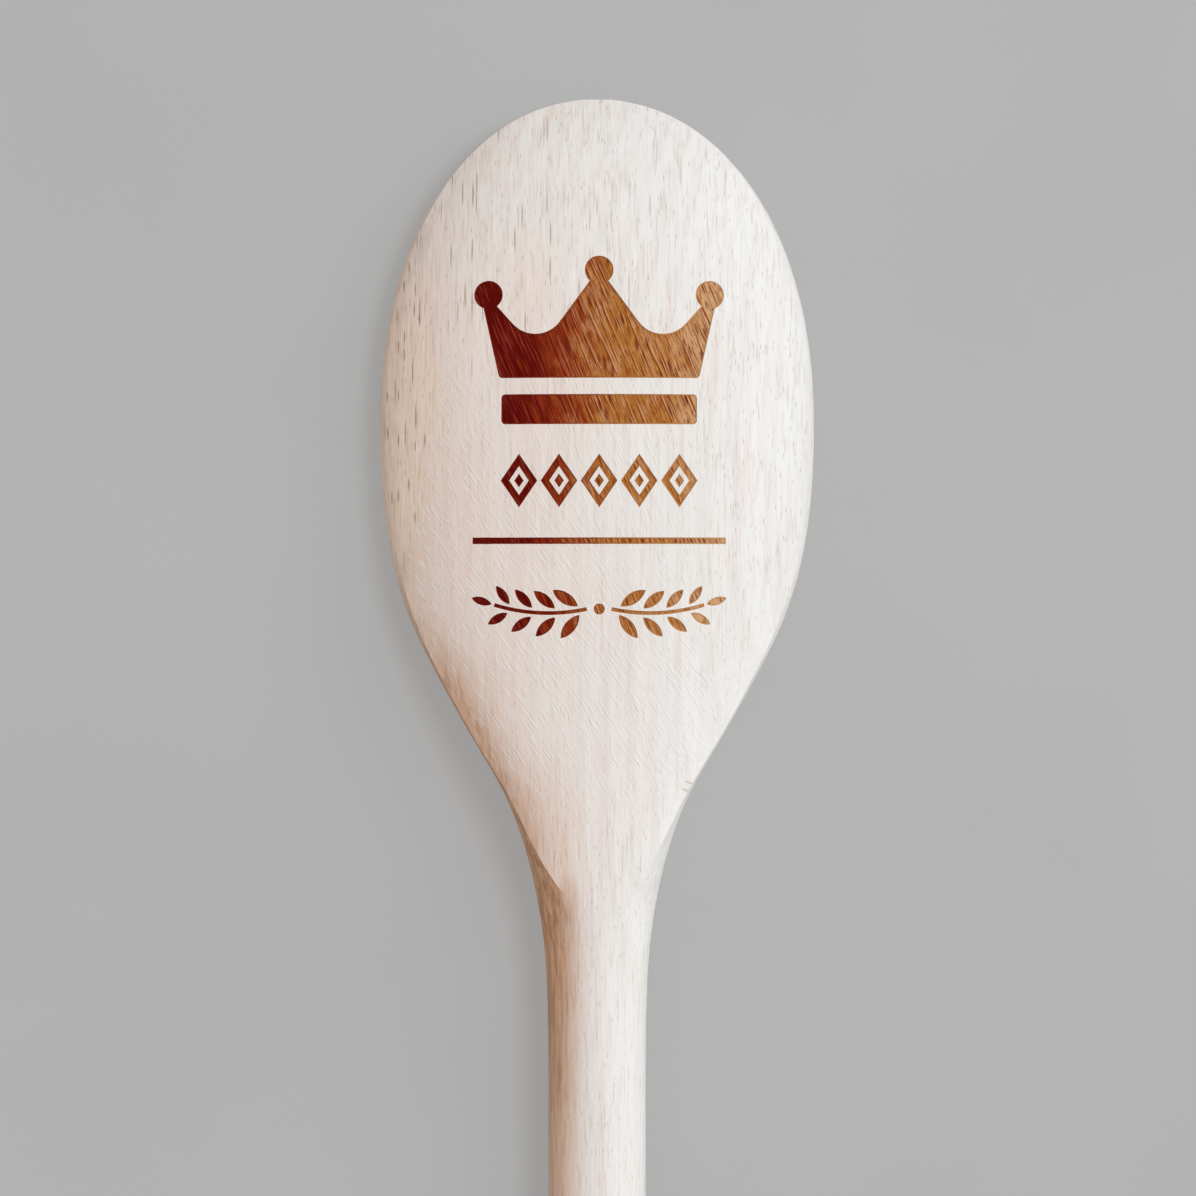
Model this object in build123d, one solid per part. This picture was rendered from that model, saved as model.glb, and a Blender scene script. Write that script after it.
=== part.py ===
from build123d import *
from math import cos, radians, sin
import os

# A wooden kitchen spoon, shaped from one piece of beech.
# Millimetres. X is across the bowl, +Y points to the tip of the bowl and +Z up.
# The spoon lies hollow side down, with the flat of its rim at z = 0, and the
# origin is under the middle of its length.

# Length of the spoon, and its round handle
spoon_length = 300.0
handle_diameter = 13.8
butt_radius = 5.0

# Bowl and neck seen from above, with places measured from the tip
bowl_width = 62.0
widest_from_tip = 47.0
neck_end_from_tip = 149.7
tip_flat_width = 4.4

# Heights above the flat of the rim: the gap under the handle, the crown of the back over the
# handle, and the middle of the bowl's side
handle_lift = 1.1
back_proud = 1.5
side_height = 5.0
side_rise = 15.0

# Hollow on the underside
hollow_depth = 8.0
rim_width = 4.0
hollow_end_from_tip = 94.0
hollow_edge_radius = 0.8

# How far a cut runs past the face that it opens
overrun = 4.0

# The outline from the tip to the widest place is a quarter of a superellipse in so many steps
nose_steps = 9
nose_length_power = 2.2
nose_width_power = 2.1

# The shoulders from the widest place until the neck has become the handle, at even steps: shares of
# the swell of the bowl beyond the handle, and of the height of a round side
shoulder_shares = (
    (0.990, 1.00),
    (0.956, 1.00),
    (0.890, 1.00),
    (0.776, 1.08),
    (0.618, 1.22),
    (0.444, 1.38),
    (0.268, 1.40),
    (0.147, 1.25),
    (0.070, 1.04),
    (0.025, 0.985),
    (0.006, 0.995),
    (0.001, 1.00),
    (0.0, 1.00),
    (0.0, 1.00),
)

# How quickly the sections of the bowl grow thicker with their width, and how quickly they turn
# round as the swell falls away
oval_power = 0.6
round_power = 1.5

# Crown of the back before the widest place: shares of the way there, of half the width and of
# the height of the back
nose_crown_shares = (
    (0.04, 0.55, 0.47),
    (0.21, 0.71, 0.71),
    (0.40, 0.84, 0.86),
    (0.60, 0.93, 0.945),
    (0.80, 0.98, 0.985),
    (1.00, 1.00, 1.00),
)
first_crown_shares = (0.45, 0.16)

# One cross-section of the crown: shares of its half-width, out from the middle and down
crown_section_shares = ((1.15, 0.430), (1.0, 0.262), (0.75, 0.109), (0.4, 0.026))

# What the crown loses in height down the neck
neck_fall_share = 0.02

tip_y = spoon_length / 2
half_bowl = bowl_width / 2
handle_radius = handle_diameter / 2
axis_height = handle_lift + handle_radius
back_height = handle_lift + handle_diameter + back_proud


def across(from_tip, height=0):
    """The upright plane across the spoon at a distance from the tip."""
    return Plane(origin=(0, tip_y - from_tip, height), x_dir=(1, 0, 0), z_dir=(0, -1, 0))


def shoulder_stations():
    """Distance from the tip, half-width, roundness and tallness down the shoulders and the neck."""
    step = (neck_end_from_tip - widest_from_tip) / len(shoulder_shares)
    stations = []
    for count, (swell, tall) in enumerate(shoulder_shares, start=1):
        half_width = handle_radius + (half_bowl - handle_radius) * swell
        stations.append((widest_from_tip + step * count, half_width, 1 - swell**round_power, tall))
    return stations


def nose_stations():
    """Distance from the tip, half-width, roundness and tallness from the tip to the widest place."""
    stations = [(0, tip_flat_width / 2, 0, 1)]
    for step in range(1, nose_steps + 1):
        turn = radians(90 * step / nose_steps)
        along = widest_from_tip * (1 - cos(turn) ** (2 / nose_length_power))
        stations.append((along, half_bowl * sin(turn) ** (2 / nose_width_power), 0, 1))
    return stations


def oval(from_tip, half_width, round_share, tall):
    """One cross-section of the blank: a flat oval in the bowl, a circle at the handle."""
    flat_rise = side_rise * (half_width / half_bowl) ** oval_power
    rise = flat_rise + (half_width * tall - flat_rise) * round_share
    height = side_height + (axis_height - side_height) * round_share
    return across(from_tip, height) * Ellipse(half_width, rise)


def shaped_blank():
    """The oval blank of the bowl and the neck, with the round handle on its end."""
    blade = loft([oval(*station) for station in nose_stations() + shoulder_stations()])
    handle = across(neck_end_from_tip, axis_height) * Circle(handle_radius)
    rod = extrude(handle, spoon_length - neck_end_from_tip)
    butt_edge = rod.edges().sort_by(Axis.Y)[0]
    return blade + fillet(butt_edge, butt_radius)


def crown_section(from_tip, half_width, height):
    """What is sanded away above the back at one station."""
    left = [(-half_width * out, height - half_width * down) for out, down in crown_section_shares]
    right = [(-x, z) for x, z in reversed(left)]
    top = side_height + side_rise + half_bowl
    with BuildSketch(across(from_tip)) as section:
        with BuildLine():
            Spline([*left, (0, height), *right])
            Polyline(right[-1], (right[-1][0], top), (left[0][0], top), left[0])
        make_face()
    return section.sketch


def back_waste():
    """Everything above the crowned back, from past the tip to the end of the neck."""
    wide, high = first_crown_shares
    sections = [crown_section(-overrun, half_bowl * wide, back_height * high)]
    for along, wide, high in nose_crown_shares:
        sections.append(crown_section(widest_from_tip * along, half_bowl * wide, back_height * high))
    for from_tip, half_width, round_share, _ in shoulder_stations():
        height = back_height * (1 - neck_fall_share * round_share)
        sections.append(crown_section(from_tip, half_width, height))
    return loft(sections)


def rim_waste():
    """Everything below the flat of the rim, under the bowl and the neck."""
    width = bowl_width + 2 * overrun
    length = neck_end_from_tip + 2 * overrun
    depth = side_rise + overrun
    below = (Align.CENTER, Align.MAX, Align.MAX)
    return Pos(0, tip_y + overrun, 0) * Box(width, length, depth, align=below)


def milled_hollow():
    """What a round milling cutter sweeps out when it swings along a long arc."""
    half_width = half_bowl - rim_width
    half_length = (hollow_end_from_tip - rim_width) / 2
    disc_radius = (half_width**2 + hollow_depth**2) / (2 * hollow_depth)
    swing_radius = (half_length**2 + hollow_depth**2) / (2 * hollow_depth)
    with BuildPart() as cutter:
        with BuildSketch(across(rim_width + half_length)):
            with Locations((0, hollow_depth - disc_radius)):
                Circle(disc_radius)
            with Locations((0, -hollow_depth)):
                below = (Align.CENTER, Align.MAX)
                Rectangle(2 * disc_radius, 2 * disc_radius, align=below, mode=Mode.SUBTRACT)
        swing_axis = Axis((0, tip_y - rim_width - half_length, hollow_depth - swing_radius), (1, 0, 0))
        revolve(axis=swing_axis)
    return cutter.part


def hollow_rim(spoon):
    """The edge where the hollow meets the flat of the rim."""
    flat = spoon.faces().filter_by(Axis.Z).sort_by(Axis.Z)[0]
    return flat.inner_wires()[0].edges()


def main():
    spoon = shaped_blank() - back_waste() - rim_waste() - milled_hollow()
    spoon = fillet(hollow_rim(spoon), hollow_edge_radius)
    os.makedirs("parts", exist_ok=True)
    export_step(spoon, "parts/spoon.step")


main()
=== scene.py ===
from math import atan2, cos, radians, sin, tan

import bpy
from bpy.props import FloatProperty, FloatVectorProperty, PointerProperty
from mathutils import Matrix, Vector


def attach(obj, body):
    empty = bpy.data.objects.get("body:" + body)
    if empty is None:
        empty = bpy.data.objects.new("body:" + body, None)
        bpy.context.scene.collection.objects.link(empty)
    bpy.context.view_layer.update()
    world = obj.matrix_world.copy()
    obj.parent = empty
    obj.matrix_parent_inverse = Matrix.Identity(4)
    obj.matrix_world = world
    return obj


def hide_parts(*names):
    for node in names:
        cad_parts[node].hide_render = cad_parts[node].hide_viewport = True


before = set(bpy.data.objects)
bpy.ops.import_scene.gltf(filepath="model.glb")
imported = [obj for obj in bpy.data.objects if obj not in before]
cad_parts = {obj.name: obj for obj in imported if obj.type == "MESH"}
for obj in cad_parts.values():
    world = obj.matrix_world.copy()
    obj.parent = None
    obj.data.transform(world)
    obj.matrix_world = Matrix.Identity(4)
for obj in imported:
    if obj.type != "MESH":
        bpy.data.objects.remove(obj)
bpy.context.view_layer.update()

bl_info = {
    "name": "Wooden spoon",
    "version": (1, 0, 0),
    "blender": (4, 5, 0),
    "location": "3D Viewport > Sidebar > Spoon",
    "description": "A beech cooking spoon with a figure burned into the back of its bowl",
    "category": "Add Mesh",
}

# Metres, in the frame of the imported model: X across the bowl, +Y to its tip, +Z up from the table
MM = 0.001
SPOON_NODE = "spoon"
SPOON_PIECE = "spoon_body"
FIGURE_PIECE = "burned_figure"

# How finely arcs and discs are drawn, and the sharpest fold that is shaded smooth
ARC_STEP = radians(9)
BALL_SIDES = 48
BERRY_SIDES = 32
LEAF_STEPS = 10
STEM_STEPS = 18
SMOOTH_FOLD = radians(30)

# The sprigs, with angles counted from the lowest point of the stem's curve
STEM_START = radians(-12)
STEM_END = radians(17)
LEAF_PAIRS = 4
FIRST_LEAF = 0.35
LEAF_LEAN = radians(42)
LEAF_GAP = 0.28 * MM
LEAF_TAPER = 0.3

# How many lozenges the row has, and the small lozenge in each ring as a share of the ring
LOZENGES = 5
CORE_SHARE = 0.27

# Where the wood changes along the spoon, in millimetres from its middle: from the bowl to the
# shoulders, from the handle to the neck and from the bowl to the neck
SHOULDERS = (94.0, 70.0)
NECK_FOOT = (-15.0, 36.0)
NECK_HEAD = (90.0, 58.0)

# The widest place of the bowl, and how its open patch of grain curves away from the edge there
BELLY = 108.0
PATCH_CURVE = 0.0075

# Middles and half sizes of spots, in millimetres: painted shade in the hollow where the left ridge
# ends, and two small bruises in the wood that lean over
RIDGE_END_SHADE = (-4.0, 37.0)
RIDGE_END_SHADE_SIZE = (1.7, 4.5)
BRUISES = ((12.9, 53.1), (12.5, 52.0))
BRUISE_SIZE = (0.7, 0.22)
BRUISE_LEAN = 1.8

FIGURE_PARTS = ("crown", "band", "line", "lozenges", "sprigs")

# The spoon's materials are the sanded wood, then the burned wood and the wall round it
BURN_SLOT = 1
WALL_SLOT = 2

# Camera straight above the bowl, and the lamps from the right, a high and a low one: name, place,
# diameter, power and tint
CAMERA_PLACE = (0.14 * MM, 79.0 * MM, 479.6 * MM)
CAMERA_LENS = 100
CAMERA_NEAR = 10 * MM
LIT_PLACE = (0, 70 * MM, 0)
SKY_LEVEL = 0.535
SKY_TINT = (1.0, 0.975, 0.95, 1.0)
LAMPS = (
    ("key", (0.41, 0.24, 1.06), 0.36, 4.44, (0.98, 1.0, 1.02)),
    ("side", (0.89, 0.44, 0.62), 0.60, 2.76, (0.98, 1.0, 1.02)),
)

# The floor's side, and how far it lies under the rim, so that the two faces are never in one place
FLOOR_SIDE = 6
FLOOR_GAP = 0.05 * MM

# How much of its own colour the table shows to the camera, which keeps the shadow light
TABLE_GLOW = 0.55

# The die that burns the figure: squares that it is cut into, how high it is drawn over the back,
# how far its rim stands proud of the back and how tall it is
GRID_PITCH = 1.5 * MM
DIE_LIFT = 30 * MM
DIE_PROUD = 0.03 * MM
DIE_HEIGHT = 3 * MM


def screen(red, green, blue):
    """A colour as it shows on a screen, in steps of 255, as a linear colour."""
    parts = [value / 255 for value in (red, green, blue)]
    return (*[v / 12.92 if v <= 0.04045 else ((v + 0.055) / 1.055) ** 2.4 for v in parts], 1.0)


def length(label, text, default):
    """A length property with its default in millimetres."""
    return FloatProperty(name=label, description=text, default=default * MM, unit="LENGTH", precision=5)


def colour(label, text, default):
    """A colour property with its default as a screen colour."""
    shade = screen(*default)
    return FloatVectorProperty(name=label, description=text, default=shade, size=4, subtype="COLOR")


# Sizes and colours


class FigureSizes(bpy.types.PropertyGroup):
    """Sizes of the figure that is burned into the back."""

    middle: length("Middle", "Middle of the figure to the right of the middle of the bowl", 0.3)
    crown_foot: length("Crown foot", "Where the foot of the crown lies along the spoon", 109.7)
    crown_width: length("Crown width", "Width of the crown at its foot", 28.0)
    crown_flare: length("Crown flare", "How far each arm leans out from the foot", 2.41)
    arm_height: length("Arm height", "From the foot of the crown to the top of an arm", 10.7)
    arm_width: length("Arm width", "Width of the top of an arm, under its ball", 1.65)
    peak_height: length("Peak height", "From the foot of the crown to the top of its middle", 14.25)
    peak_width: length("Peak width", "Width of the top of the middle, under its ball", 1.8)
    valley_half_gap: length("Valley place", "From the middle to the lowest point between two arms", 8.57)
    valley_height: length("Valley height", "From the foot to where the sides of a valley would meet", 3.8)
    valley_radius: length("Valley radius", "Round of a valley", 4.17)
    ball_radius: length("Ball radius", "Radius of the balls on the crown", 2.03)
    side_ball_height: length("Side ball height", "From the foot to the middle of a side ball", 11.75)
    side_ball_place: length("Side ball place", "From the middle to the middle of a side ball", 15.5)
    top_ball_height: length("Top ball height", "From the foot to the middle of the top ball", 15.2)
    corner_radius: length("Corner radius", "Round of the corners of crown and band", 0.6)
    band_place: length("Band place", "Where the middle of the band lies along the spoon", 105.36)
    band_width: length("Band width", "Width of the band under the crown", 27.4)
    band_height: length("Band height", "Height of the band under the crown", 4.25)
    lozenge_place: length("Lozenge place", "Where the row of lozenges lies along the spoon", 95.4)
    lozenge_width: length("Lozenge width", "Width of a lozenge", 5.2)
    lozenge_height: length("Lozenge height", "Height of a lozenge", 7.6)
    lozenge_pitch: length("Lozenge pitch", "From one lozenge to the next", 5.6)
    lozenge_line: length("Lozenge line", "Thickness of the line of a lozenge", 1.05)
    rule_place: length("Rule place", "Where the thin line lies along the spoon", 87.0)
    rule_width: length("Rule width", "Length of the thin line", 35.5)
    rule_height: length("Rule height", "Thickness of the thin line", 0.97)
    sprig_place: length("Sprig place", "Where the lowest point of the sprigs' stems lies", 76.9)
    stem_radius: length("Stem radius", "Radius of the curve of a stem", 26.0)
    stem_line: length("Stem line", "Thickness of a stem", 0.6)
    stem_gap: length("Stem gap", "From the middle to the foot of a stem", 1.7)
    leaf_length: length("Leaf length", "Length of the largest leaf", 4.4)
    leaf_width: length("Leaf width", "Width of the largest leaf", 1.7)
    berry_radius: length("Berry radius", "Radius of the berry between the sprigs", 0.8)
    burn_depth: length("Burn depth", "Depth of the burned figure", 0.16)
    wall_width: length("Wall width", "Width of the sloping wall round the burned figure", 0.2)


class SpoonColours(bpy.types.PropertyGroup):
    """Colours of the wood, of the burned figure and of the table."""

    # Painted shade: the wood runs from pale at the right edge to warm and amber at the left edge, partly
    # its own tone and partly shade away from the lamps
    pale_wood: colour("Pale wood", "Sanded beech at its lightest", (239, 239, 238))
    mid_wood: colour("Middle wood", "Sanded beech between its lightest and its warmest", (235, 229, 224))
    warm_shaded_wood: colour("Warm wood", "Sanded beech at its warmest", (235, 215, 203))
    amber_shaded_wood: colour("Amber wood", "Sanded beech along the warm edge", (236, 207, 182))
    # Lit and shaded copies of the turned sides: pale with painted light on the right, warm and brown with
    # painted shade on the left and on the neck's left
    pale_lit_side: colour("Pale side", "Turned sides at the pale edge", (245, 244, 241))
    warm_shaded_side: colour("Warm side", "Turned sides at the warm edge", (240, 215, 195))
    brown_shaded_side: colour("Brown side", "Turned side of the neck at the warm edge", (206, 156, 120))
    pore: colour("Pore", "Short dark pores of the wood", (150, 122, 102))
    dark_burn: colour("Dark burn", "Burned wood at its darkest", (92, 6, 3))
    red_burn: colour("Red burn", "Burned wood between dark and golden", (140, 48, 14))
    golden_burn: colour("Golden burn", "Lightly burned wood", (173, 109, 47))
    tan_burn: colour("Tan burn", "Burned wood at its lightest", (207, 164, 122))
    table: colour("Table", "The pale floor", (183, 183, 183))


# Modelling by hand


def pick(*objects):
    """Select only these objects, the first one active."""
    bpy.ops.object.select_all(action="DESELECT")
    for piece in objects:
        piece.select_set(True)
    bpy.context.view_layer.objects.active = objects[0]
    return objects[0]


def fixed_in_place(name):
    """Name the active object and put its place, turn and size into its mesh."""
    piece = bpy.context.object
    piece.name = name
    piece.data.name = name
    bpy.ops.object.transform_apply(location=True, rotation=True, scale=True)
    return piece


def joined(name, pieces):
    """Join flat shapes into one object."""
    pick(*pieces)
    bpy.ops.object.join()
    return fixed_in_place(name)


def pen_down(x, y):
    """Start an outline as one vertex on the drawing plane."""
    bpy.ops.object.select_all(action="DESELECT")
    bpy.ops.mesh.primitive_plane_add(size=MM, location=(x, y, 0), enter_editmode=True)
    bpy.ops.mesh.select_mode(type="VERT")
    bpy.ops.mesh.merge(type="CENTER")


def stroke(start, end):
    """Draw a straight stroke from the last vertex."""
    step = (end[0] - start[0], end[1] - start[1], 0)
    bpy.ops.mesh.extrude_vertices_move(TRANSFORM_OT_translate={"value": step})


def swing(middle, turn, steps):
    """Draw an arc from the last vertex, counted anticlockwise."""
    bpy.ops.mesh.spin(steps=steps, angle=turn, center=(*middle, 0), axis=(0, 0, -1))


def pen_up(name):
    """Close the outline, fill it and turn its face up."""
    bpy.ops.mesh.select_all(action="SELECT")
    bpy.ops.mesh.remove_doubles(threshold=MM / 1000)
    bpy.ops.mesh.edge_face_add()
    bpy.ops.mesh.normals_make_consistent(inside=False)
    bpy.ops.object.mode_set(mode="OBJECT")
    piece = bpy.context.object
    if piece.data.polygons[0].normal.z < 0:
        bpy.ops.object.mode_set(mode="EDIT")
        bpy.ops.mesh.flip_normals()
        bpy.ops.object.mode_set(mode="OBJECT")
    return fixed_in_place(name)


def rounded_outline(name, corners):
    """A flat shape from corners (x, y, radius), given anticlockwise."""
    rounds = []
    count = len(corners)
    for index, (x, y, radius) in enumerate(corners):
        corner = Vector((x, y))
        arriving = (corner - Vector(corners[index - 1][:2])).normalized()
        leaving = (Vector(corners[(index + 1) % count][:2]) - corner).normalized()
        turn = atan2(arriving.cross(leaving), arriving.dot(leaving))
        reach = radius * tan(abs(turn) / 2)
        start = corner - arriving * reach
        side = Vector((-arriving.y, arriving.x)) * (1 if turn > 0 else -1)
        rounds.append((start, corner + leaving * reach, start + side * radius, turn))
    pen_down(*rounds[0][0])
    last = rounds[0][0]
    for (start, end, middle, turn), corner in zip(rounds, corners):
        if (start - last).length > MM / 1000:
            stroke(last, start)
        if corner[2] > 0:
            swing(middle, turn, max(3, round(abs(turn) / ARC_STEP)))
        last = end
    return pen_up(name)


def round_face(name, x, y, radius, sides):
    """A flat disc."""
    place = (x, y, 0)
    bpy.ops.object.select_all(action="DESELECT")
    bpy.ops.mesh.primitive_circle_add(vertices=sides, radius=radius, fill_type="NGON", location=place)
    return fixed_in_place(name)


def with_modifier(piece, kind, settings):
    """Add a modifier with its settings and apply it."""
    pick(piece)
    step = piece.modifiers.new(kind.lower(), kind)
    for name, value in settings.items():
        setattr(step, name, value)
    bpy.ops.object.modifier_apply(modifier=step.name)


def united(name, pieces):
    """One flat shape from overlapping ones: thicken them, unite the solids and keep their top."""
    solid = None
    for piece in pieces:
        pick(piece)
        bpy.ops.object.mode_set(mode="EDIT")
        bpy.ops.mesh.select_all(action="SELECT")
        bpy.ops.mesh.extrude_region_move(TRANSFORM_OT_translate={"value": (0, 0, -MM)})
        bpy.ops.mesh.select_all(action="SELECT")
        bpy.ops.mesh.normals_make_consistent(inside=False)
        bpy.ops.object.mode_set(mode="OBJECT")
        if solid is None:
            solid = piece
            continue
        with_modifier(solid, "BOOLEAN", {"operation": "UNION", "solver": "EXACT", "object": piece})
        bpy.data.objects.remove(piece)
    keep_faces(solid, lambda face: face.normal.z > 0.9)
    bpy.ops.object.mode_set(mode="EDIT")
    bpy.ops.mesh.select_all(action="SELECT")
    bpy.ops.mesh.dissolve_faces()
    bpy.ops.object.mode_set(mode="OBJECT")
    return fixed_in_place(name)


def choose_faces(piece, test):
    """Select the faces of the active piece that pass a test, and no others."""
    bpy.ops.object.mode_set(mode="EDIT")
    bpy.ops.mesh.select_mode(type="FACE")
    bpy.ops.mesh.select_all(action="DESELECT")
    bpy.ops.object.mode_set(mode="OBJECT")
    for face in piece.data.polygons:
        face.select = bool(test(face))


def keep_faces(piece, test):
    """Delete the faces that fail a test."""
    pick(piece)
    choose_faces(piece, lambda face: not test(face))
    bpy.ops.object.mode_set(mode="EDIT")
    bpy.ops.mesh.delete(type="FACE")
    bpy.ops.object.mode_set(mode="OBJECT")


def turned_copy(piece, name, turn, shift, size=1.0, mirror=False):
    """A copy with its own mesh, turned and sized about the origin and then moved."""
    pick(piece)
    bpy.ops.object.duplicate(linked=False)
    copy = bpy.context.object
    copy.rotation_euler.z = turn
    copy.location = (*shift, 0)
    copy.scale = (-size if mirror else size, size, size)
    fixed_in_place(name)
    if mirror:
        bpy.ops.object.mode_set(mode="EDIT")
        bpy.ops.mesh.select_all(action="SELECT")
        bpy.ops.mesh.flip_normals()
        bpy.ops.object.mode_set(mode="OBJECT")
    return copy


def cut_into_squares(piece, pitch):
    """Cut a flat shape along a grid, so that it can follow a curved back."""
    low, high = Vector(piece.bound_box[0]), Vector(piece.bound_box[6])
    pick(piece)
    bpy.ops.object.mode_set(mode="EDIT")
    for axis in (0, 1):
        normal = (1 - axis, axis, 0)
        for step in range(1, int((high[axis] - low[axis]) / pitch) + 1):
            place = [0.0, 0.0, 0.0]
            place[axis] = low[axis] + step * pitch
            bpy.ops.mesh.select_all(action="SELECT")
            bpy.ops.mesh.bisect(plane_co=place, plane_no=normal, threshold=MM / 10000)
    bpy.ops.object.mode_set(mode="OBJECT")


def burning_die(figure, back, depth, wall):
    """Turn the flat figure into a closed die that reaches a depth into the back, with sloping walls."""
    pick(figure)
    bpy.ops.object.duplicate(linked=False)
    outline = bpy.context.object
    bpy.ops.object.mode_set(mode="EDIT")
    bpy.ops.mesh.select_mode(type="FACE")
    bpy.ops.mesh.select_all(action="SELECT")
    bpy.ops.mesh.region_to_loop()
    bpy.ops.mesh.select_all(action="INVERT")
    bpy.ops.mesh.delete(type="EDGE_FACE")
    bpy.ops.object.mode_set(mode="OBJECT")
    pick(figure)
    bpy.ops.object.mode_set(mode="EDIT")
    bpy.ops.mesh.select_mode(type="FACE")
    bpy.ops.mesh.select_all(action="SELECT")
    bpy.ops.mesh.inset(thickness=wall, use_boundary=True, use_even_offset=True)
    bpy.ops.object.mode_set(mode="OBJECT")
    for face in figure.data.polygons:
        face.material_index = BURN_SLOT if face.select else WALL_SLOT
    cut_into_squares(figure, GRID_PITCH)
    bpy.ops.object.vertex_group_add()
    bpy.ops.object.mode_set(mode="EDIT")
    bpy.ops.mesh.select_all(action="SELECT")
    bpy.ops.object.vertex_group_assign()
    bpy.ops.object.mode_set(mode="OBJECT")
    slope = figure.vertex_groups.active.name
    with_modifier(figure, "VERTEX_WEIGHT_PROXIMITY", {
        "vertex_group": slope,
        "target": outline,
        "proximity_mode": "GEOMETRY",
        "proximity_geometry": {"EDGE"},
        "min_dist": 0.0,
        "max_dist": wall,
    })
    bpy.data.objects.remove(outline)
    pick(figure)
    figure.location.z = DIE_LIFT
    fixed_in_place(FIGURE_PIECE)
    with_modifier(figure, "SHRINKWRAP", {
        "wrap_method": "PROJECT",
        "target": back,
        "use_project_z": True,
        "use_negative_direction": True,
        "use_positive_direction": False,
    })
    figure.location.z = DIE_PROUD
    fixed_in_place(FIGURE_PIECE)
    with_modifier(figure, "DISPLACE", {
        "direction": "Z",
        "mid_level": 0.0,
        "strength": -depth - DIE_PROUD,
        "vertex_group": slope,
    })
    bpy.ops.object.mode_set(mode="EDIT")
    bpy.ops.mesh.select_all(action="SELECT")
    bpy.ops.mesh.extrude_region_move(TRANSFORM_OT_translate={"value": (0, 0, DIE_HEIGHT)})
    bpy.ops.mesh.select_all(action="SELECT")
    bpy.ops.mesh.normals_make_consistent(inside=False)
    bpy.ops.object.mode_set(mode="OBJECT")


# Shader sums


class Wire:
    """An output socket of a shader, on which Python's sums add Math nodes."""

    def __init__(self, socket):
        self.socket = socket

    def node(self, kind, settings=None, sockets=None, output=0):
        """Add a node: its settings first, then the values or wires of its sockets."""
        tree = self.socket.id_data
        node = tree.nodes.new(kind)
        for name, value in (settings or {}).items():
            if name == "stops":
                set_stops(node.color_ramp.elements, value)
            else:
                setattr(node, name, value)
        for name, value in (sockets or {}).items():
            if isinstance(value, Wire):
                tree.links.new(value.socket, node.inputs[name])
            else:
                node.inputs[name].default_value = value
        return Wire(node.outputs[output])

    def output(self, name):
        """Another output of the same node."""
        return Wire(self.socket.node.outputs[name])

    def maths(self, operation, first, second=0.0):
        """A sum of two values, or of one where the sum takes only one."""
        return self.node("ShaderNodeMath", {"operation": operation}, {0: first, 1: second})

    def __add__(self, other):
        return self.maths("ADD", self, other)

    def __radd__(self, other):
        return self.maths("ADD", other, self)

    def __sub__(self, other):
        return self.maths("SUBTRACT", self, other)

    def __rsub__(self, other):
        return self.maths("SUBTRACT", other, self)

    def __mul__(self, other):
        return self.maths("MULTIPLY", self, other)

    def __truediv__(self, other):
        return self.maths("DIVIDE", self, other)

    def __pow__(self, other):
        return self.maths("POWER", self, other)


def set_stops(elements, stops):
    """Fill a colour ramp with (place, colour) stops."""
    while len(elements) < len(stops):
        elements.new(1.0)
    for element, (place, shade) in zip(elements, stops):
        element.position = place
        element.color = shade


def rise(wire, low, high):
    """0 below low, 1 above high and a smooth rise between, or a fall where low is the larger."""
    sockets = {"Value": wire, "From Min": low, "From Max": high}
    return wire.node("ShaderNodeMapRange", {"interpolation_type": "SMOOTHSTEP"}, sockets)


def blend(share, first, second):
    """A colour between two colours."""
    return share.node("ShaderNodeMix", {"data_type": "RGBA"}, {0: share, 6: first, 7: second}, output=2)


def laid(place, size, turn=0.0):
    """Coordinates in steps of a size in millimetres, turned about Z."""
    sockets = {"Vector": place, "Rotation": (0, 0, turn), "Scale": size}
    return place.node("ShaderNodeMapping", {"vector_type": "TEXTURE"}, sockets)


def mottle(place, size, turn=0.0, detail=2.0, roughness=0.5, distortion=0.0):
    """Soft noise about 0.5, with patches of that size in millimetres."""
    sockets = {"Vector": laid(place, size, turn), "Scale": 1.0, "Detail": detail}
    sockets.update({"Roughness": roughness, "Distortion": distortion})
    return place.node("ShaderNodeTexNoise", None, sockets)


def grain(place, turned, width, span, roughness=0.5):
    """Noise drawn out along the spoon: drawn out downwards too on the back, and not on the sides."""
    back = mottle(place, (width, span, width * 9), roughness=roughness)
    side = mottle(place, (width, span, width), roughness=roughness)
    return back + (side - back) * turned


def scores(place, width, span, turn):
    """Fine scores of a width and a length in millimetres: their bright and their dark edges side by side,
    a painted highlight and painted shade of the scores' relief.
    """
    beside = place.node("ShaderNodeVectorMath", {"operation": "ADD"}, {0: place, 1: (width * 0.7, 0, 0)})
    edges = []
    for start in (place, beside):
        line = mottle(start, (width, span, width * 3), turn, detail=1.5)
        edges.append(rise(line, 0.52, 0.68))
    return edges


def flecks(place, size, share, reach, turn=0.0, depth="3D"):
    """Short marks, each in its own cell of that size in millimetres, in a share of the cells."""
    sockets = {"Vector": laid(place, size, turn), "Scale": 1.0}
    cells = place.node("ShaderNodeTexVoronoi", {"voronoi_dimensions": depth}, sockets)
    luck = cells.node("ShaderNodeSeparateColor", None, {"Color": cells.output("Color")})
    return rise(cells, reach, reach * 0.3) * rise(luck, 1 - share, 1 - share * 0.6)


def new_finish(name):
    """A material with only its shader, and the place on the spoon in millimetres."""
    finish = bpy.data.materials.new(name)
    finish.use_nodes = True
    shader = finish.node_tree.nodes["Principled BSDF"]
    start = Wire(finish.node_tree.nodes.new("ShaderNodeTexCoord").outputs["Object"])
    place = start.node("ShaderNodeVectorMath", {"operation": "SCALE"}, {0: start, "Scale": 1 / MM})
    return finish, shader, place


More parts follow.
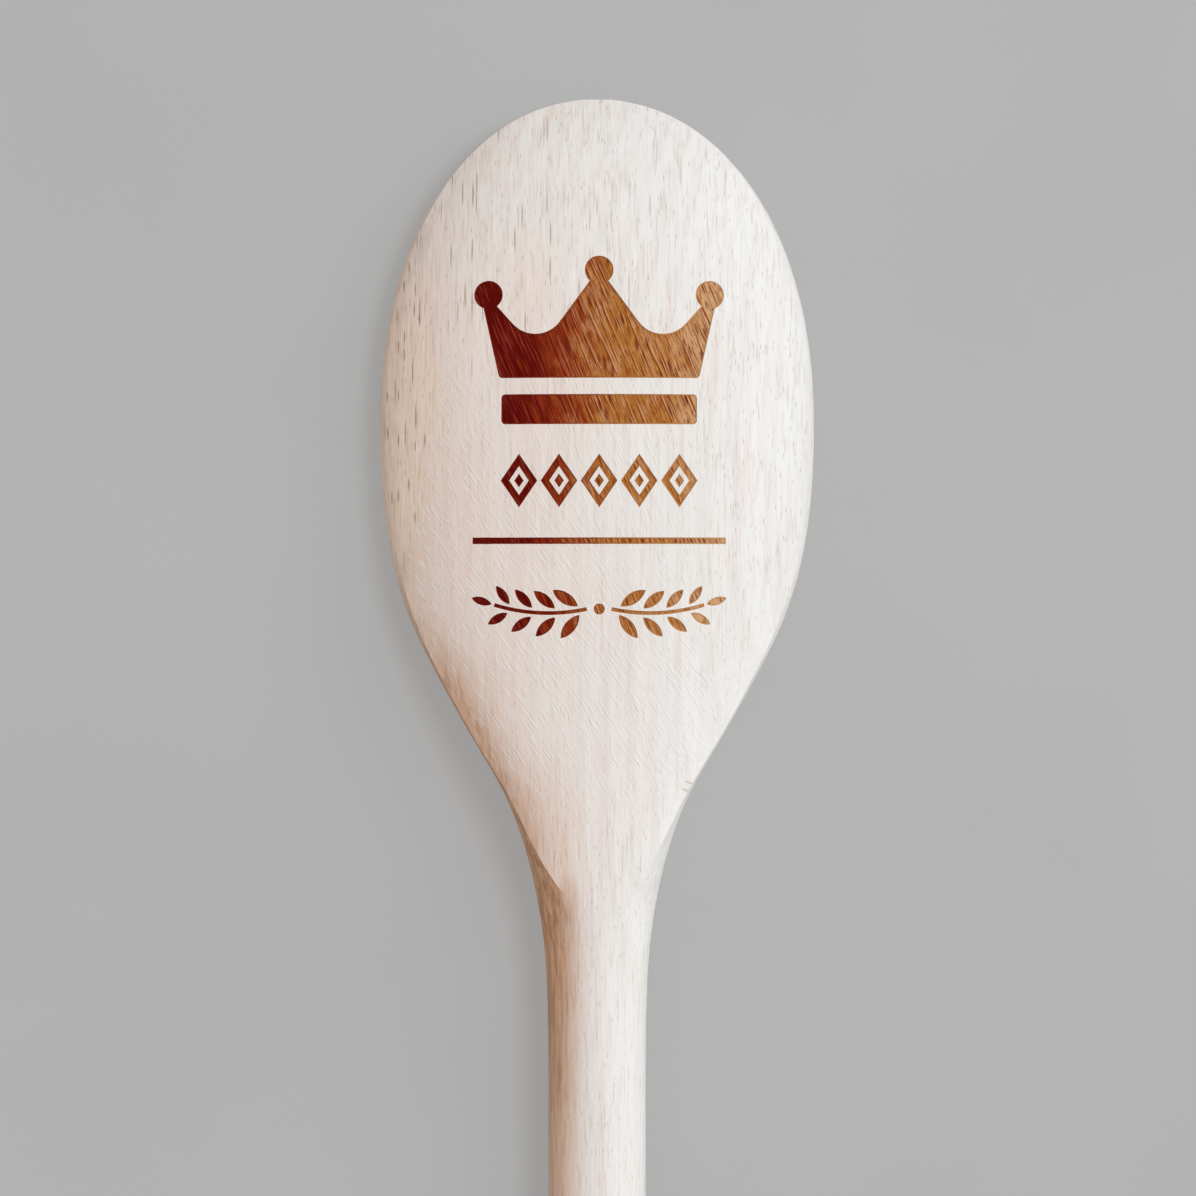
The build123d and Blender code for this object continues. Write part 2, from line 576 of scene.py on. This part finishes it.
def connect(shader, sockets):
    """Feed wires or values to the sockets of the shader."""
    for name, value in sockets.items():
        if isinstance(value, Wire):
            shader.id_data.links.new(value.socket, shader.inputs[name])
        else:
            shader.inputs[name].default_value = value


def seen_plain(camera_rays):
    """1 for the camera's rays and for those that are mirrored or pass through, 0 for falling light."""
    mirrored = camera_rays.output("Is Glossy Ray")
    passed = camera_rays.output("Is Transmission Ray")
    return mirrored.maths("MAXIMUM", camera_rays, mirrored.maths("MAXIMUM", mirrored, passed))


def relief(height, distance):
    """A bump of a height between 0 and 1, in millimetres."""
    sockets = {"Height": height, "Distance": distance * MM, "Strength": 1.0}
    return height.node("ShaderNodeBump", None, sockets)


# Finishes


def growth_rings(place):
    """Late wood of the growth rings, which run along the spoon about a far pith."""
    across = mottle(place, (30, 70, 30), detail=1.0)
    parts = place.node("ShaderNodeSeparateXYZ", None, {"Vector": place})
    x = parts + 74.0 + (across - 0.5) * 9.0
    z = parts.output("Z") + 46.0
    rings = (x * x + z * z) ** 0.5 / 2.7 + mottle(place, (2.0, 22, 2.0), detail=2.0) * 0.5
    place_in_ring = rings.maths("FRACT", rings)
    return rise(place_in_ring, 0.35, 0.93) * rise(place_in_ring, 1.0, 0.94)


class Ground:
    """Where on the spoon the wood is warm with painted shade, turned, part of the neck, open in its grain
    or scored.
    """

    def __init__(self, place):
        parts = place.node("ShaderNodeSeparateXYZ", None, {"Vector": place})
        facing = place.node("ShaderNodeTexCoord", None, None, output="Normal")
        self.place = place
        self.x = x = parts
        self.y = y = parts.output("Y")
        self.upward = facing.node("ShaderNodeSeparateXYZ", None, {"Vector": facing}).output("Z")

        # The turned sides, which begin at a gentler slope on the shoulders and the neck
        self.low_down = rise(y, *SHOULDERS)
        self.neck = rise(y, *NECK_FOOT) * rise(y, *NECK_HEAD)
        streaked = self.upward + (mottle(place, (0.5, 8, 0.5)) - 0.5) * (self.low_down * 0.22)
        first, full = 0.72 + self.low_down * 0.27, 0.35 + self.low_down * 0.32
        self.turned = rise(streaked, first, full) * rise(self.upward, -0.9, -0.5)

        # From pale at the right edge to warm at the left edge, in the bowl and in the handle: random tone
        # of the wood, with painted shade darkening the left side away from the lamps
        self.slow = mottle(place, (9, 34, 9), detail=2.0)
        spread = 6.6 + rise(y, 26.0, 84.0) * 28.0
        self.tone = 0.5 - x / spread * 0.5 + (self.slow - 0.5) * 0.4 - rise(y, 114.0, 138.0) * 0.16
        # Turned sides in the painted shade of the left edge, and those of the neck, painted brown there
        self.warm_shaded_turn = self.turned * rise(self.tone, 0.45, 0.8)
        self.brown_shaded_turn = self.warm_shaded_turn * self.neck

        # A warm patch along the left edge of the belly, where the grain lies open
        from_belly = y - BELLY
        ragged = (mottle(place, (1.2, 9, 1.2), detail=3.0) - 0.5) * 2.5
        edge = 0 - x - from_belly * from_belly * PATCH_CURVE + ragged
        self.patch = rise(edge, 22.2, 23.6) * rise(y, 62.0, 78.0)

        # Where the scores of sanding cover the grain: steep below the crown, flatter in the lower left
        low_left = rise(y + x * 0.9, 100.0, 78.0)
        self.steep = rise(y, 122.0, 104.0) * rise(x, 22.0, 4.0) * (1 - low_left * 0.7)
        self.flat = low_left * rise(y, 42.0, 60.0)
        self.covered = (self.steep + self.flat) * (1 - self.turned) * (1 - self.patch)

    def from_spot(self, middle, size, lean=0.0):
        """The square of the distance from the middle of an oval spot, 1 at its edge."""
        beside = self.x - middle[0]
        across = beside / size[0]
        along = (self.y - middle[1]) / size[1]
        if lean:
            along = along + beside * lean
        return across * across + along * along


def plain_wood(ground, colours):
    """The colour of the wood under its grain, with painted shade on the left edges and at the end of the
    left ridge.
    """
    tone = ground.tone
    stops = (
        (0.12, colours.pale_wood),
        (0.50, colours.mid_wood),
        (0.80, colours.warm_shaded_wood),
        (0.97, colours.amber_shaded_wood),
    )
    wood = tone.node("ShaderNodeValToRGB", {"stops": stops}, {"Fac": tone})
    pink = mottle(ground.place, (1.7, 26, 1.7), detail=2.0)
    wood = blend(rise(pink, 0.52, 0.72) * 0.30, wood, screen(226, 202, 194))
    wood = blend(rise(pink, 0.46, 0.28) * 0.30, wood, screen(226, 224, 221))
    # The turned sides, lit and shaded copies: pale where the lamps light them, painted shade warm on the
    # left and brown on the neck's left
    sides = blend(rise(tone, 0.25, 0.8), colours.pale_lit_side, colours.warm_shaded_side)
    sides = blend(ground.neck * rise(tone, 0.5, 0.8), sides, colours.brown_shaded_side)
    wood = blend(ground.turned * 0.95, wood, sides)

    # Painted shade: the left edge of the shoulders and of the neck, turned away from the lamps, darkened
    # to brown
    wood = blend(rise(tone, 0.82, 0.90) * ground.low_down * 0.4, wood, colours.brown_shaded_side)
    shaded_neck_edge = rise(tone, 0.54, 0.95) * rise(ground.y, *NECK_FOOT) * rise(ground.y, 66.0, 48.0)
    wood = blend(shaded_neck_edge * 0.4, wood, colours.brown_shaded_side)
    wood = blend(ground.patch * 0.45, wood, screen(242, 220, 204))

    # Painted shade in the hollow where the left ridge of the back runs out on the neck
    ridge_end_shade = rise(ground.from_spot(RIDGE_END_SHADE, RIDGE_END_SHADE_SIZE) + (ground.slow - 0.5), 1.0, 0.1)
    wood = blend(ridge_end_shade * 0.36, wood, colours.brown_shaded_side)
    return blend(growth_rings(ground.place) * 0.07, wood, screen(196, 158, 126))


def with_fibres(wood, ground):
    """The wood with its fibres, and the height of the fibres."""
    fine = grain(ground.place, ground.turned, 0.19, 3.4, roughness=0.6)
    coarse = grain(ground.place, ground.turned, 0.42, 8.0)
    fibre = fine * 0.6 + coarse * 0.4
    open_grain = ground.warm_shaded_turn + ground.patch * 0.6
    # Darker, browner fibres and streaks on the neck's left side carry on its painted shade
    deep = blend(ground.brown_shaded_turn, screen(178, 146, 122), screen(144, 90, 64))
    light = blend(ground.brown_shaded_turn, screen(251, 250, 248), screen(238, 206, 176))
    depth = (0.38 + open_grain * 0.22) * (1 - ground.covered * 0.35)
    wood = blend(rise(fibre, 0.50, 0.30) * depth, wood, deep)
    wood = blend(rise(fibre, 0.52, 0.72) * (0.48 - ground.covered * 0.12), wood, light)
    streaks = mottle(ground.place, (0.7, 8, 0.7), detail=3.0)
    wood = blend(rise(streaks, 0.50, 0.34) * ground.brown_shaded_turn * 0.5, wood, screen(156, 100, 72))
    wood = blend(rise(streaks, 0.52, 0.68) * ground.brown_shaded_turn * 0.5, wood, screen(234, 200, 168))
    return wood, fibre


def with_scores(wood, ground):
    """The wood with the scores of sanding, their edges painted as highlight and shade, and the bright
    edges of the scores less the dark ones.
    """
    steep_bright, steep_dark = scores(ground.place, 0.24, 3.6, radians(24))
    flat_bright, flat_dark = scores(ground.place, 0.25, 3.0, radians(35))
    sanded = (1 - ground.turned) * (1 - ground.patch) * rise(ground.upward, 0.2, 0.5)
    steep = ground.steep * sanded * 0.75 + sanded * 0.08
    flat = ground.flat * sanded
    bright = steep_bright * steep + flat_bright * flat
    dark = steep_dark * steep + flat_dark * flat
    # The scores are real marks; their dark edges are painted shade and their bright edges painted
    # highlight
    wood = blend(dark * 0.28, wood, screen(185, 163, 151))
    wood = blend(bright * 0.37, wood, screen(252, 251, 250))
    return wood, bright - dark


def with_pores(wood, ground, colours):
    """The wood with its pores, and how deep the small and the large ones lie."""
    place, turned = ground.place, ground.turned
    pores = flecks(place, (0.36, 2.2, 0.36), 0.20, 0.26, depth="2D") * (1 - turned)
    pores = pores + flecks(place, (0.36, 2.2, 0.36), 0.28, 0.26) * turned
    long_pores = flecks(place, (0.5, 7.6, 0.5), 0.17, 0.34, depth="2D") * (1 - turned)
    long_pores = long_pores * (0.4 + rise(ground.tone, 0.25, 0.6) * 1.1) * (1 - ground.low_down * 0.55)
    covered = ground.covered
    ticks = pores.maths("MAXIMUM", pores * (0.9 - covered * 0.35), long_pores * (1 - covered * 0.7))
    open_pores = flecks(place, (0.8, 6.4, 0.8), 0.4, 0.2, depth="2D")
    open_pores = open_pores * ground.patch * rise(ground.upward, 0.3, 0.6)
    # Pores are drawn darker on the turned left sides, part of their painted shade
    wood = blend(ticks * (0.42 + ground.warm_shaded_turn * 0.2) + open_pores * 0.75, wood, colours.pore)
    return wood, ticks, open_pores


def with_bruises(wood, ground):
    """The wood with the small bruises near the right edge of the back."""
    for middle in BRUISES:
        bruise = rise(ground.from_spot(middle, BRUISE_SIZE, BRUISE_LEAN), 1.1, 0.3)
        bruise = bruise * rise(ground.upward, 0.70, 0.80)
        wood = blend(bruise * 0.5, wood, screen(190, 164, 124))
    return wood


def sanded_beech(colours):
    """Pale sanded beech with rings, fibres, pores and the scores of sanding."""
    finish, shader, place = new_finish("sanded_beech")
    ground = Ground(place)
    wood = plain_wood(ground, colours)
    wood, fibre = with_fibres(wood, ground)
    wood, scored = with_scores(wood, ground)
    wood, ticks, open_pores = with_pores(wood, ground, colours)
    wood = with_bruises(wood, ground)
    height = fibre * 0.5 - ticks * 0.5 - open_pores * 0.4 + scored * 0.05
    connect(shader, {
        "Base Color": wood,
        "Roughness": 0.64 + (fibre - 0.5) * 0.3 + ticks * 0.2,
        "Specular IOR Level": 0.25,
        "Normal": relief(height, 0.035),
    })
    return finish


def burned_beech(colours):
    """Burned wood, dark red at the left and golden at the right, with leaning streaks whose edges carry
    painted highlight and shade.
    """
    finish, shader, place = new_finish("burned_beech")
    x = place.node("ShaderNodeSeparateXYZ", None, {"Vector": place})
    broad = mottle(place, (0.5, 6.5, 0.8), turn=radians(22), detail=2.0)
    patches = mottle(place, (1.6, 3.4, 1.6), turn=radians(15), detail=3.0, roughness=0.6)
    speckle = mottle(place, (0.26, 1.5, 0.3), turn=radians(19), detail=3.0, roughness=0.65)
    dashes = flecks(place, (0.8, 3.6, 1.0), 0.36, 0.42, turn=radians(8), depth="2D")
    bright, dark = scores(place, 0.27, 6.0, radians(23))

    along = (x + 20.0) / 40.0 + (broad - 0.5) * 0.42 + (patches - 0.5) * 0.16
    stops = (
        (0.0, colours.dark_burn),
        (0.26, colours.dark_burn),
        (0.40, colours.red_burn),
        (0.56, colours.golden_burn),
        (0.74, colours.golden_burn),
        (0.92, colours.tan_burn),
    )
    shade = along.node("ShaderNodeValToRGB", {"stops": stops}, {"Fac": along})
    golden = rise(x, -8.0, 0.5)
    shade = blend(rise(patches, 0.5, 0.64) * golden * 0.32, shade, screen(212, 162, 122))
    shade = blend(rise(speckle, 0.48, 0.34) * (0.2 + golden * 0.55), shade, screen(116, 46, 10))
    shade = blend(rise(speckle, 0.54, 0.70) * golden * 0.4, shade, screen(214, 166, 104))
    shade = blend(dashes * rise(x, -9.0, -4.0) * 0.8, shade, screen(104, 24, 6))
    shade = blend(rise(broad, 0.42, 0.30) * golden * 0.6, shade, screen(116, 40, 8))
    # Painted shade on the dark edges and painted highlight on the bright edges of the burned streaks
    shade = blend(dark * (0.35 + golden * 0.45), shade, screen(96, 14, 2))
    streak_highlight = blend(golden, screen(190, 80, 62), screen(222, 164, 112))
    shade = blend(bright * (0.30 + golden * 0.25), shade, streak_highlight)
    connect(shader, {
        "Base Color": shade,
        "Roughness": 0.75 + (speckle - 0.5) * 0.3,
        "Specular IOR Level": 0.05,
        "Normal": relief(speckle * 0.4 + bright * 0.4 - dark * 0.4, 0.03),
    })
    return finish


def charred_wall():
    """The sloping wall round the figure, burned a shade darker than its floor."""
    finish, shader, place = new_finish("charred_wall")
    x = place.node("ShaderNodeSeparateXYZ", None, {"Vector": place})
    patches = mottle(place, (0.5, 1.4, 0.5), detail=2.0)
    along = (x + 20.0) / 40.0 + (patches - 0.5) * 0.3
    stops = (
        (0.0, screen(100, 16, 10)),
        (0.35, screen(128, 44, 16)),
        (0.55, screen(170, 108, 52)),
        (1.0, screen(206, 162, 112)),
    )
    shade = along.node("ShaderNodeValToRGB", {"stops": stops}, {"Fac": along})
    connect(shader, {
        "Base Color": shade,
        "Roughness": 0.75 + (patches - 0.5) * 0.2,
        "Specular IOR Level": 0.05,
        "Normal": relief(patches, 0.02),
    })
    return finish


def pale_floor(colours):
    """A plain floor, which shows the camera part of its colour whatever falls on it."""
    finish, shader, place = new_finish("pale_floor")
    cloud = mottle(place, (60, 60, 60), detail=3.0)
    deeper = tuple(part * 0.97 for part in colours.table[:3]) + (1.0,)
    shade = blend(rise(cloud, 0.3, 0.7), colours.table, deeper)
    connect(shader, {
        "Base Color": shade,
        "Roughness": 0.9,
        "Specular IOR Level": 0.1,
    })
    glow = place.node("ShaderNodeEmission", None, {"Color": shade, "Strength": 1.0})
    rays = seen_plain(place.node("ShaderNodeLightPath", None, None, output="Is Camera Ray"))
    lit = Wire(shader.outputs["BSDF"])
    seen = place.node("ShaderNodeMixShader", None, {0: rays * TABLE_GLOW, 1: lit, 2: glow})
    finish.node_tree.links.new(seen.socket, finish.node_tree.nodes["Material Output"].inputs["Surface"])
    return finish


# Operators


class SPOON_OT_crown(bpy.types.Operator):
    """Draw the crown of the figure with its balls"""

    bl_idname = "spoon.crown"
    bl_label = "Crown"

    def execute(self, context):
        sizes = context.scene.figure_sizes
        foot = sizes.crown_foot
        half = sizes.crown_width / 2
        arm_out = half + sizes.crown_flare
        arm_top = foot + sizes.arm_height
        right = (
            (half, foot, sizes.corner_radius),
            (arm_out, arm_top, 0),
            (arm_out - sizes.arm_width, arm_top, 0),
            (sizes.valley_half_gap, foot + sizes.valley_height, sizes.valley_radius),
            (sizes.peak_width / 2, foot + sizes.peak_height, 0),
        )
        left = tuple((-x, y, radius) for x, y, radius in reversed(right))
        corners = [(sizes.middle + x, y, radius) for x, y, radius in right + left]
        balls = (
            (-sizes.side_ball_place, sizes.side_ball_height),
            (0, sizes.top_ball_height),
            (sizes.side_ball_place, sizes.side_ball_height),
        )
        pieces = [rounded_outline("crown", corners)]
        for x, y in balls:
            ball = round_face("ball", sizes.middle + x, foot + y, sizes.ball_radius, BALL_SIDES)
            pieces.append(ball)
        united("crown", pieces)
        return {"FINISHED"}


class SPOON_OT_bars(bpy.types.Operator):
    """Draw the band under the crown and the thin line"""

    bl_idname = "spoon.bars"
    bl_label = "Band and line"

    def execute(self, context):
        sizes = context.scene.figure_sizes
        bars = (
            ("band", sizes.band_place, sizes.band_width, sizes.band_height, sizes.corner_radius),
            ("line", sizes.rule_place, sizes.rule_width, sizes.rule_height, 0),
        )
        for name, place, width, height, radius in bars:
            low, high = place - height / 2, place + height / 2
            left, right = sizes.middle - width / 2, sizes.middle + width / 2
            corners = ((left, low), (right, low), (right, high), (left, high))
            rounded_outline(name, [(x, y, radius) for x, y in corners])
        return {"FINISHED"}


class SPOON_OT_lozenges(bpy.types.Operator):
    """Draw the row of lozenges, each a ring with a small lozenge in it"""

    bl_idname = "spoon.lozenges"
    bl_label = "Lozenges"

    def execute(self, context):
        sizes = context.scene.figure_sizes
        ring = self.lozenge("ring", sizes.lozenge_width, sizes.lozenge_height, sizes.lozenge_line)
        core = self.lozenge("core", sizes.lozenge_width * CORE_SHARE, sizes.lozenge_height * CORE_SHARE)
        pieces = []
        for count in range(LOZENGES):
            step = count - LOZENGES // 2
            shift = (sizes.middle + step * sizes.lozenge_pitch, sizes.lozenge_place)
            pieces.append(turned_copy(ring, "lozenge", 0, shift))
            pieces.append(turned_copy(core, "lozenge", 0, shift))
        bpy.data.objects.remove(ring)
        bpy.data.objects.remove(core)
        joined("lozenges", pieces)
        return {"FINISHED"}

    def lozenge(self, name, width, height, line=0.0):
        """A flat lozenge about the origin, left as a ring where a line thickness is given."""
        bpy.ops.object.select_all(action="DESELECT")
        bpy.ops.mesh.primitive_circle_add(vertices=4, radius=1, fill_type="NGON", enter_editmode=True)
        bpy.ops.mesh.select_mode(type="FACE")
        bpy.ops.mesh.select_all(action="SELECT")
        bpy.ops.transform.resize(value=(width / 2, height / 2, 1))
        if line:
            bpy.ops.mesh.inset(thickness=line)
            bpy.ops.mesh.delete(type="FACE")
        bpy.ops.object.mode_set(mode="OBJECT")
        return fixed_in_place(name)


class SPOON_OT_sprigs(bpy.types.Operator):
    """Draw the two leafy sprigs that meet at a berry"""

    bl_idname = "spoon.sprigs"
    bl_label = "Sprigs"

    def execute(self, context):
        sizes = context.scene.figure_sizes
        radius = sizes.stem_radius
        middle = Vector((sizes.stem_gap - radius * sin(STEM_START), sizes.sprig_place + radius))
        leaf = self.leaf(sizes.leaf_length, sizes.leaf_width)
        pieces = [self.stem(middle, radius, sizes.stem_line)]
        sweep = STEM_END - STEM_START
        for pair in range(LEAF_PAIRS):
            share = (pair + FIRST_LEAF) / LEAF_PAIRS
            heading = STEM_START + sweep * share
            for side in (-1, 1):
                lean = heading + side * LEAF_LEAN
                out = radius - side * (sizes.stem_line / 2 + LEAF_GAP)
                root = middle + Vector((sin(heading), -cos(heading))) * out
                size = 1 - share * LEAF_TAPER
                pieces.append(turned_copy(leaf, "leaf", lean, root, size))
        tip = middle + Vector((sin(STEM_END), -cos(STEM_END))) * radius
        tip += Vector((cos(STEM_END), sin(STEM_END))) * LEAF_GAP
        pieces.append(turned_copy(leaf, "leaf", STEM_END, tip, 1 - LEAF_TAPER))
        bpy.data.objects.remove(leaf)
        sprig = joined("sprig", pieces)
        foot = sizes.sprig_place + radius * (1 - cos(STEM_START))
        pair = [turned_copy(sprig, "sprigs", 0, (sizes.middle, 0))]
        pair.append(turned_copy(sprig, "sprigs", 0, (sizes.middle, 0), mirror=True))
        pair.append(round_face("berry", sizes.middle, foot, sizes.berry_radius, BERRY_SIDES))
        bpy.data.objects.remove(sprig)
        joined("sprigs", pair)
        return {"FINISHED"}

    def leaf(self, span, width):
        """A pointed leaf from the origin along X, between two arcs."""
        radius = (span * span / 4 + width * width / 4) / width
        turn = 2 * atan2(span / 2, radius - width / 2)
        pen_down(0, 0)
        swing((span / 2, radius - width / 2), turn, LEAF_STEPS)
        swing((span / 2, width / 2 - radius), turn, LEAF_STEPS)
        return pen_up("leaf")

    def stem(self, middle, radius, line):
        """A thin curved stem."""
        sweep = STEM_END - STEM_START
        out = Vector((sin(STEM_START), -cos(STEM_START)))
        far = Vector((sin(STEM_END), -cos(STEM_END)))
        pen_down(*(middle + out * (radius + line / 2)))
        swing(middle, sweep, STEM_STEPS)
        stroke(middle + far * (radius + line / 2), middle + far * (radius - line / 2))
        swing(middle, -sweep, STEM_STEPS)
        return pen_up("stem")


class SPOON_OT_body(bpy.types.Operator):
    """Burn the figure into the back of the spoon and give the wood its finish"""

    bl_idname = "spoon.body"
    bl_label = "Spoon"

    def execute(self, context):
        sizes = context.scene.figure_sizes
        colours = context.scene.spoon_colours
        pick(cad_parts[SPOON_NODE])
        bpy.ops.object.duplicate(linked=False)
        spoon = bpy.context.object
        spoon.name = spoon.data.name = SPOON_PIECE
        bpy.ops.mesh.customdata_custom_splitnormals_clear()
        bpy.ops.object.mode_set(mode="EDIT")
        bpy.ops.mesh.select_all(action="SELECT")
        bpy.ops.mesh.remove_doubles(threshold=MM / 1000)
        bpy.ops.object.mode_set(mode="OBJECT")
        finishes = (sanded_beech(colours), burned_beech(colours), charred_wall())
        figure = joined(FIGURE_PIECE, [bpy.data.objects[name] for name in FIGURE_PARTS])
        for piece in (spoon, figure):
            piece.data.materials.clear()
            for finish in finishes:
                piece.data.materials.append(finish)
        burning_die(figure, spoon, sizes.burn_depth, sizes.wall_width)
        with_modifier(spoon, "BOOLEAN", {"operation": "DIFFERENCE", "solver": "EXACT", "object": figure})
        bpy.data.objects.remove(figure)
        pick(spoon)
        bpy.ops.object.shade_smooth_by_angle(angle=SMOOTH_FOLD)
        burned = sum(face.area for face in spoon.data.polygons if face.material_index == BURN_SLOT)
        if not burned:
            raise RuntimeError("The figure left no mark on the back.")
        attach(spoon, "root")
        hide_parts(SPOON_NODE)
        return {"FINISHED"}


class SPOON_OT_stage(bpy.types.Operator):
    """Set up the table, the lights and the camera"""

    bl_idname = "spoon.stage"
    bl_label = "Stage"

    def execute(self, context):
        colours = context.scene.spoon_colours
        bpy.ops.object.select_all(action="DESELECT")
        bpy.ops.mesh.primitive_plane_add(size=FLOOR_SIDE, location=(0, 0, -FLOOR_GAP))
        floor = fixed_in_place("floor")
        floor.data.materials.append(pale_floor(colours))
        self.sky(context.scene, colours)
        for name, place, size, power, tint in LAMPS:
            bpy.ops.object.light_add(type="AREA", location=place)
            lamp = bpy.context.object
            lamp.name = name
            lamp.data.shape = "DISK"
            lamp.data.size = size
            lamp.data.energy = power
            lamp.data.color = tint
            lamp.rotation_euler = (Vector(LIT_PLACE) - Vector(place)).to_track_quat("-Z", "Y").to_euler()
        bpy.ops.object.camera_add(location=CAMERA_PLACE, rotation=(0, 0, 0))
        camera = bpy.context.object
        camera.name = "camera"
        camera.data.lens = CAMERA_LENS
        camera.data.clip_start = CAMERA_NEAR
        context.scene.camera = camera
        context.scene.view_settings.view_transform = "Standard"
        return {"FINISHED"}

    def sky(self, scene, colours):
        """Even light all round, which the camera sees in the colour of the table."""
        world = bpy.data.worlds.new("studio")
        scene.world = world
        world.use_nodes = True
        background = world.node_tree.nodes["Background"]
        path = world.node_tree.nodes.new("ShaderNodeLightPath")
        rays = seen_plain(Wire(path.outputs["Is Camera Ray"]))
        shade = blend(rays, SKY_TINT, colours.table)
        world.node_tree.links.new(shade.socket, background.inputs["Color"])
        strength = rays * (1 - SKY_LEVEL) + SKY_LEVEL
        world.node_tree.links.new(strength.socket, background.inputs["Strength"])


class SPOON_PT_panel(bpy.types.Panel):
    """The spoon's sizes, colours and steps"""

    bl_idname = "SPOON_PT_panel"
    bl_label = "Wooden spoon"
    bl_space_type = "VIEW_3D"
    bl_region_type = "UI"
    bl_category = "Spoon"

    def draw(self, context):
        for group in (context.scene.figure_sizes, context.scene.spoon_colours):
            box = self.layout.box()
            for name in group.__annotations__:
                box.prop(group, name)
        for step in STEPS:
            self.layout.operator(step.bl_idname)


STEPS = (SPOON_OT_crown, SPOON_OT_bars, SPOON_OT_lozenges, SPOON_OT_sprigs, SPOON_OT_body, SPOON_OT_stage)
CLASSES = (FigureSizes, SpoonColours, *STEPS, SPOON_PT_panel)


def register():
    for item in CLASSES:
        bpy.utils.register_class(item)
    bpy.types.Scene.figure_sizes = PointerProperty(type=FigureSizes)
    bpy.types.Scene.spoon_colours = PointerProperty(type=SpoonColours)


def unregister():
    del bpy.types.Scene.spoon_colours
    del bpy.types.Scene.figure_sizes
    for item in reversed(CLASSES):
        bpy.utils.unregister_class(item)


def main():
    register()
    bpy.ops.spoon.crown()
    bpy.ops.spoon.bars()
    bpy.ops.spoon.lozenges()
    bpy.ops.spoon.sprigs()
    bpy.ops.spoon.body()
    bpy.ops.spoon.stage()


if __name__ == "__main__":
    main()
